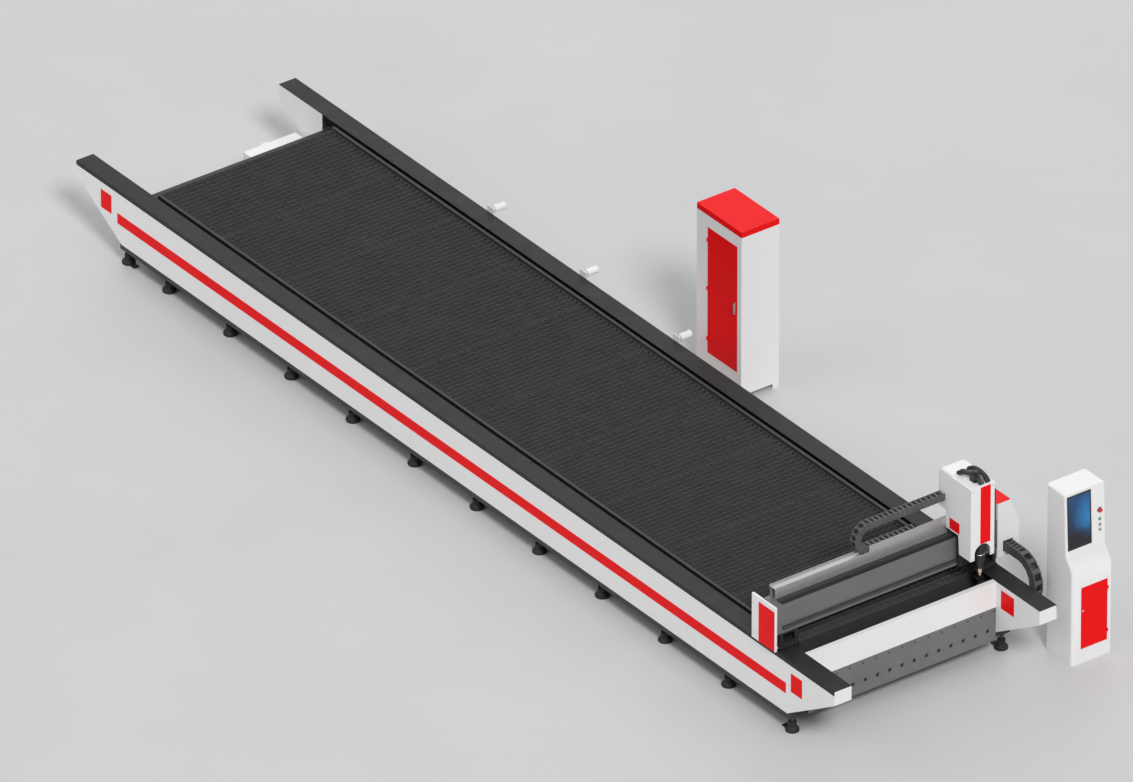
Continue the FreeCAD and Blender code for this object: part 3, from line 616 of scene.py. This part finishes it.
chain_run("long_chain_low", "x_chain_lower", 0, DX, 5.46 + DX, 0.0, 0.5, 8, 0.1, (1.41, 1.51), 0.014, (0.50, 0.60))
chain_run("long_chain_top", "x_chain_upper", 0, 5.46 + DX, 5.12 + DX, 0.5, 1.0, 6, 0.05, (1.41, 1.51), 0.014, (1.00, 1.10))
chain_bend("long_chain_turn", "x_chain_bend", "long_chain_bend", 0, (5.46 + DX, 0.80), 0.2, 0.3, (1.41, 1.51), 0.014, 8, 1)
YX = (5.034 + DX, 5.120 + DX)
chain_run("cross_chain_low", "y_chain_lower", 1, 0.45, -0.15, 0.0, 0.5, 6, 0.06, YX, 0.011, (1.48, 1.556))
chain_run("cross_chain_top", "y_chain_upper", 1, -0.15, 0.785, 0.5, 1.0, 6, 0.06, YX, 0.011, (1.74, 1.816))
chain_bend("cross_chain_turn", "y_chain_bend", "cross_chain_bend", 1, (-0.15, 1.648), 0.092, 0.168, YX, 0.011, 7, -1)

# ------------------------------------------------------------------ bed details
b = Build()
for s in (1, -1):
    for i in range(23):
        x = -6.05 + 12.1 * i / 22
        b.screw((x, s * 1.175, 0.85), (0, 0, 1), 0.008, 0.004)
        b.screw((x, s * 1.335, 0.85), (0, 0, 1), 0.008, 0.004)
put(b, "lid_screws", m_black, "bed")

# dust strips beside the slats, along the inner edge of each lid
b = Build()
for s in (1, -1):
    for i in range(11):
        x = -5.29 + 1.06 * i
        y0, y1 = sorted((s * 1.1505, s * 1.2))
        b.box(x - 0.012, x + 0.012, y0, y1, 0.850, 0.8512)
put(b, "lid_joint_straps", m_cover, "bed", 0.0006)

# front panel fasteners
b = Build()
for i in range(15):
    y = -1.125 + 0.1607 * i
    b.screw((5.600, y, 0.515), (1, 0, 0), 0.010, 0.005)
put(b, "front_screws", m_dark, "bed")

# dark plugs in the round holes of the base
b = Build()
for i in range(15):
    y = -1.05 + 0.15 * i
    b.lathe((5.588, y, 0.312), (1, 0, 0), [(0, 0.0215), (0.006, 0.0215), (0.010, 0.019), (0.010, 0.010), (0.006, 0.008)], 20)
put(b, "base_plugs", m_black, "bed")


# ------------------------------------------------------------------ gantry details
b = Build()
b.box(5.136, 5.170, -1.295, 1.295, 1.370, 1.3735)
b.box(5.210, 5.247, -1.295, 1.295, 1.370, 1.3735)
put(b, "beam_top_strips", m_cover, "gantry", 0.001)
b = Build()
for i in range(20):
    y = -1.235 + 0.13 * i
    b.screw((5.190, y, 1.392), (0, 0, 1), 0.006, 0.003)
    b.screw((5.272, y, 1.110), (1, 0, 0), 0.006, 0.003)
put(b, "rail_screws", m_dark, "gantry")
b = Build()
for s in (1, -1):
    for x in (4.905, 4.995):
        for y in (1.084, 1.174):
            b.screw((x, s * y, 0.903), (0, 0, 1), 0.006, 0.005)
    for k in range(6):
        z = 1.005 + 0.022 * k
        for x0, x1, y0, y1 in ((4.905, 4.995, 1.083, 1.175),):
            ya, yb = sorted((s * y0, s * y1))
            b.box(x0, x1, ya, yb, z, z + 0.008)
put(b, "motor_fins", m_black, "gantry", 0.001)
b = Build()
for z in (0.92, 1.24):
    for x in (4.90, 4.965):
        b.screw((x, -1.390, z + 0.02), (0, -1, 0), 0.006, 0.002)
put(b, "cover_screws", m_screw, "gantry")


# ------------------------------------------------------------------ carriage and head details
b = Build()
for z in (1.25, 2.02):
    for y in (0.862, 1.098):
        b.screw((5.530, y, z), (1, 0, 0), 0.006, 0.003)
put(b, "housing_screws", m_screw, "carriage")

# conduits from the hood along the housing's top, past the height motor, down to the stripe
for k, (y, y2, top, m, nm) in enumerate(((0.915, 0.975, 0.052, m_hose, "conduit_a"), (0.952, 1.000, 0.066, m_hose2, "conduit_b"),
                                         (1.040, 1.052, 0.060, m_hose, "conduit_c"), (1.075, 1.075, 0.046, m_hose, "conduit_d"))):
    b = Build()
    pts, rad = [], []
    n = 110
    for i in range(n + 1):
        t = i / n
        w = t * t * (3 - 2 * t)
        side = y + (0.905 - y) * math.sin(math.pi * min(1, t * 1.25)) * (1 if k < 2 else 0) * 0.6
        pts.append((5.214 + 0.290 * t, side * (1 - w) + y2 * w, 2.068 - 0.004 * t + top * math.sin(math.pi * min(1, t * 1.04)) ** 0.6))
        rad.append(0.0170 + 0.0016 * (i % 2))
    b.tube(pts, rad, 12)
    put(b, nm, m, "carriage")

# ribs along the trunking on the far side of the housing
b = Build()
for i in range(19):
    z = 1.35 + 0.031 * i
    b.box(5.413, 5.477, 1.1765, 1.1785, z, z + 0.016)
put(b, "trunk_ribs", m_black, "carriage", 0.0008)

# cooling, sensor and gas fittings on the cutting head
b = Build()
b.lathe((5.45, 1.010, 1.225), (0, 0, 1), [(0, 0.0475), (0.004, 0.049), (0.012, 0.049), (0.016, 0.0475)], 28)
b.lathe((5.45, 1.010, 1.160), (0, 0, 1), [(0, 0.042), (0.003, 0.0435), (0.010, 0.0435), (0.013, 0.042)], 28)
b.lathe((5.45, 0.965, 1.34), (0, -1, 0), [(0, 0.012), (0.010, 0.012), (0.012, 0.009), (0.024, 0.009)], 6)
b.lathe((5.45, 0.965, 1.40), (0, -1, 0), [(0, 0.012), (0.010, 0.012), (0.012, 0.009), (0.024, 0.009)], 6)
put(b, "head_fittings", m_chrome, "head")

# height sensor amplifier beside the head, with its lead and two coolant hoses
b = Build()
b.box(5.346, 5.398, 0.925, 0.985, 1.130, 1.285)
b.box(5.346, 5.392, 1.035, 1.095, 1.140, 1.300)
b.box(5.343, 5.350, 0.915, 1.105, 1.195, 1.270)
put(b, "head_boxes", m_black, "head", 0.004, 3)
b = Build()
for k, (x0, y0, z0, x1, y1, z1, bow) in enumerate(((5.450, 0.940, 1.340, 5.372, 0.955, 1.130, -0.040), (5.450, 0.940, 1.400, 5.380, 0.930, 1.240, -0.050),
                                                   (5.440, 1.060, 1.200, 5.370, 1.070, 1.140, 0.030))):
    pts = []
    for i in range(25):
        t = i / 24
        w = t * t * (3 - 2 * t)
        pts.append((x0 + (x1 - x0) * w, y0 + (y1 - y0) * w + bow * math.sin(math.pi * t) * 0.5, z0 + (z1 - z0) * t - 0.035 * math.sin(math.pi * t)))
    b.tube(pts, 0.0075, 10)
put(b, "head_hoses", m_hose, "head")


# ------------------------------------------------------------------ console
lean = math.atan2(0.030, 0.685)
LEAN = Matrix.Translation((6.090, 0, 1.210)) @ Matrix.Rotation(-lean, 4, "Y") @ Matrix.Translation((-6.090, 0, -1.210))
b = Build()
b.box(6.0945, 6.0958, 1.648, 1.906, 1.286, 1.854, LEAN)
o = put(b, "screen_face", m_screen, "bed", 0.0004, dx=CON)
b = Build()
v0 = len(b.bm.verts)
b.lathe((6.0900, 2.028, 1.600), (1, 0, 0), [(0, 0.030), (0.003, 0.030), (0.004, 0.027), (0.004, 0.0105)], 28)
b.lathe((6.0900, 2.028, 1.500), (1, 0, 0), [(0, 0.018), (0.003, 0.018), (0.004, 0.016), (0.004, 0.0085)], 24)
for z, r in ((1.435, 0.014), (1.380, 0.014)):
    b.lathe((6.0900, 2.028, z), (1, 0, 0), [(0, 0.016), (0.003, 0.016), (0.004, 0.014), (0.010, 0.012), (0.012, 0.008)], 24)
bmesh.ops.transform(b.bm, matrix=LEAN, verts=b.bm.verts[:])
put(b, "button_bezels", m_steel, "bed", dx=CON)

# vents and lock
b = Build()
for i in range(12):
    z = 0.30 + 0.028 * i
    b.box(5.7575, 5.7600, 1.70, 2.02, z, z + 0.010)
for i in range(12):
    z = 1.45 + 0.028 * i
    b.box(5.7575, 5.7600, 1.70, 2.02, z, z + 0.010)
put(b, "console_louvres", m_white, "bed", 0.001, dx=CON)
b = Build()
b.lathe((6.190, 1.745, 0.60), (1, 0, 0), [(0, 0.012), (0.004, 0.012), (0.006, 0.009), (0.006, 0.003)], 20)
b.box(6.190, 6.197, 1.742, 1.748, 0.588, 0.612)
put(b, "console_lock", m_chrome, "console_door", 0.0006, dx=CON)

# ------------------------------------------------------------------ laser cabinet
b = Build()
b.box(0.092, 0.112, 2.022, 2.030, 0.96, 1.10)
b.box(0.096, 0.108, 2.008, 2.022, 0.975, 0.995)
b.box(0.096, 0.108, 2.008, 2.022, 1.065, 1.085)
b.box(0.095, 0.109, 2.004, 2.012, 0.97, 1.09)
put(b, "cabinet_handle", m_chrome, "cabinet_door", 0.002, dx=CAB)
b = Build()
for i in range(18):
    z = 0.35 + 0.03 * i
    b.box(-0.5425, -0.5400, 2.11, 2.42, z, z + 0.011)
    b.box(-0.5425, -0.5400, 2.11, 2.42, z + 0.95, z + 0.961)
put(b, "cabinet_louvres", m_white, "bed", 0.001, dx=CAB)
